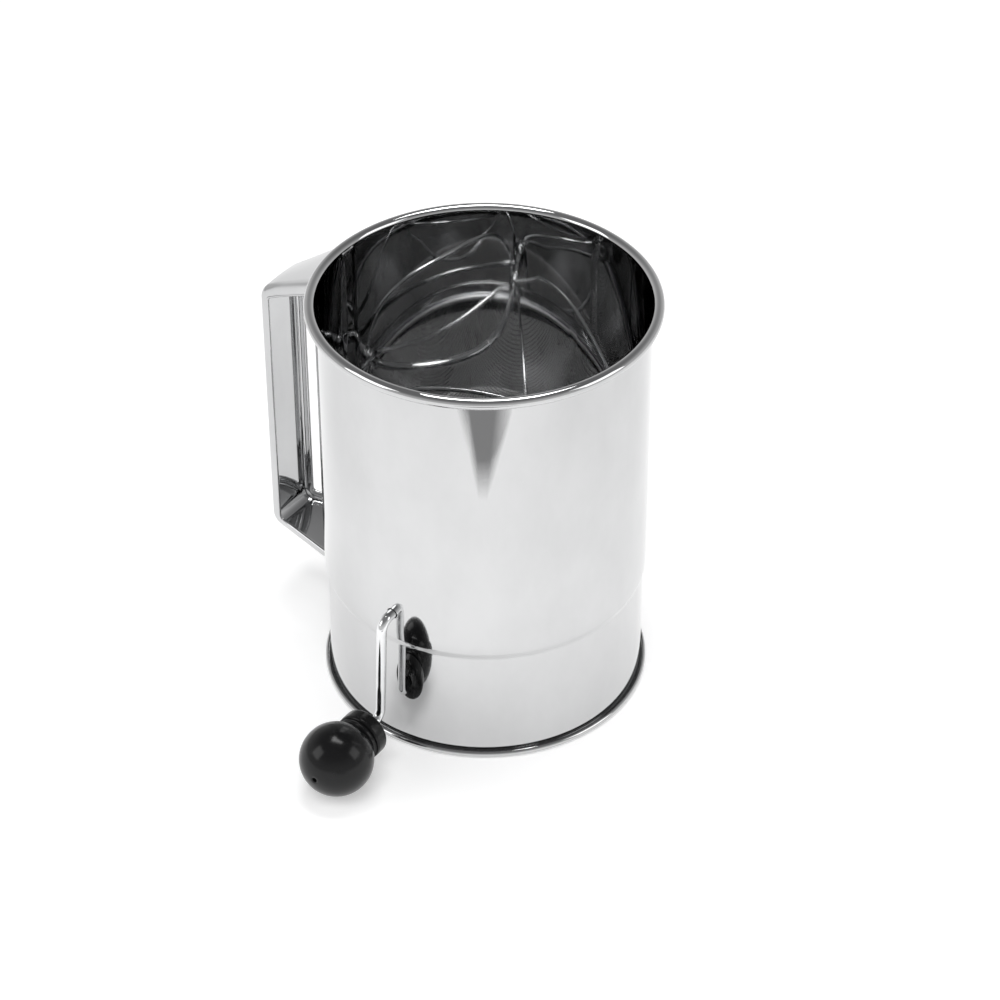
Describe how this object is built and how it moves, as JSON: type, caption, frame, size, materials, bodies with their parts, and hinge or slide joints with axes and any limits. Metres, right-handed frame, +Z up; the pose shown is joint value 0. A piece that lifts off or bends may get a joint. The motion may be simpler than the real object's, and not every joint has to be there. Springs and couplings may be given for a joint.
{
  "type": "flour sifter",
  "caption": "Hand-crank flour sifter: polished sheet can with a strap handle, a bowl-shaped wire screen and a wire agitator turned by a side crank with a free ball knob.",
  "frame": {"origin": "middle of the bottom of the whole object's box, on the surface that the can stands on", "axes": "+Z up along the can's axis, -Y the way the crank and its knob leave the can, -X the way the handle leaves it"},
  "size_m": [0.1586, 0.1732, 0.165],
  "materials": {
    "polished_steel": "mirror-polished stainless sheet with fine drawing marks",
    "bright_wire": "bright drawn steel wire",
    "wire_cloth": "plain woven fine steel wire",
    "black_knob": "moulded gloss black"
  },
  "bodies": {
    "can": {"barrel": "polished_steel", "rim_wire": "bright_wire", "handle_strap": "polished_steel", "screen_hoop": "polished_steel", "screen_clamp_ring": "polished_steel", "screen_cloth": "wire_cloth"},
    "crank": {"crank_rod": "bright_wire", "agitator_bow_1": "bright_wire", "agitator_bow_2": "bright_wire", "agitator_bow_3": "bright_wire", "agitator_bow_4": "bright_wire", "front_spacer": "polished_steel", "rear_spacer": "polished_steel", "rear_washer": "polished_steel", "rear_push_nut": "polished_steel"},
    "knob": {"knob": "black_knob"}
  },
  "joints": [
    {"name": "crank_spin", "type": "hinge", "parent": "can", "child": "crank", "pos_m": [0.0149, -0.0385, 0.0608], "axis": [0, 1, 0], "continuous": true},
    {"name": "knob_spin", "type": "hinge", "parent": "crank", "child": "knob", "pos_m": [0.01308, -0.0727, 0.01464], "axis": [0, 1, 0], "continuous": true}
  ]
}
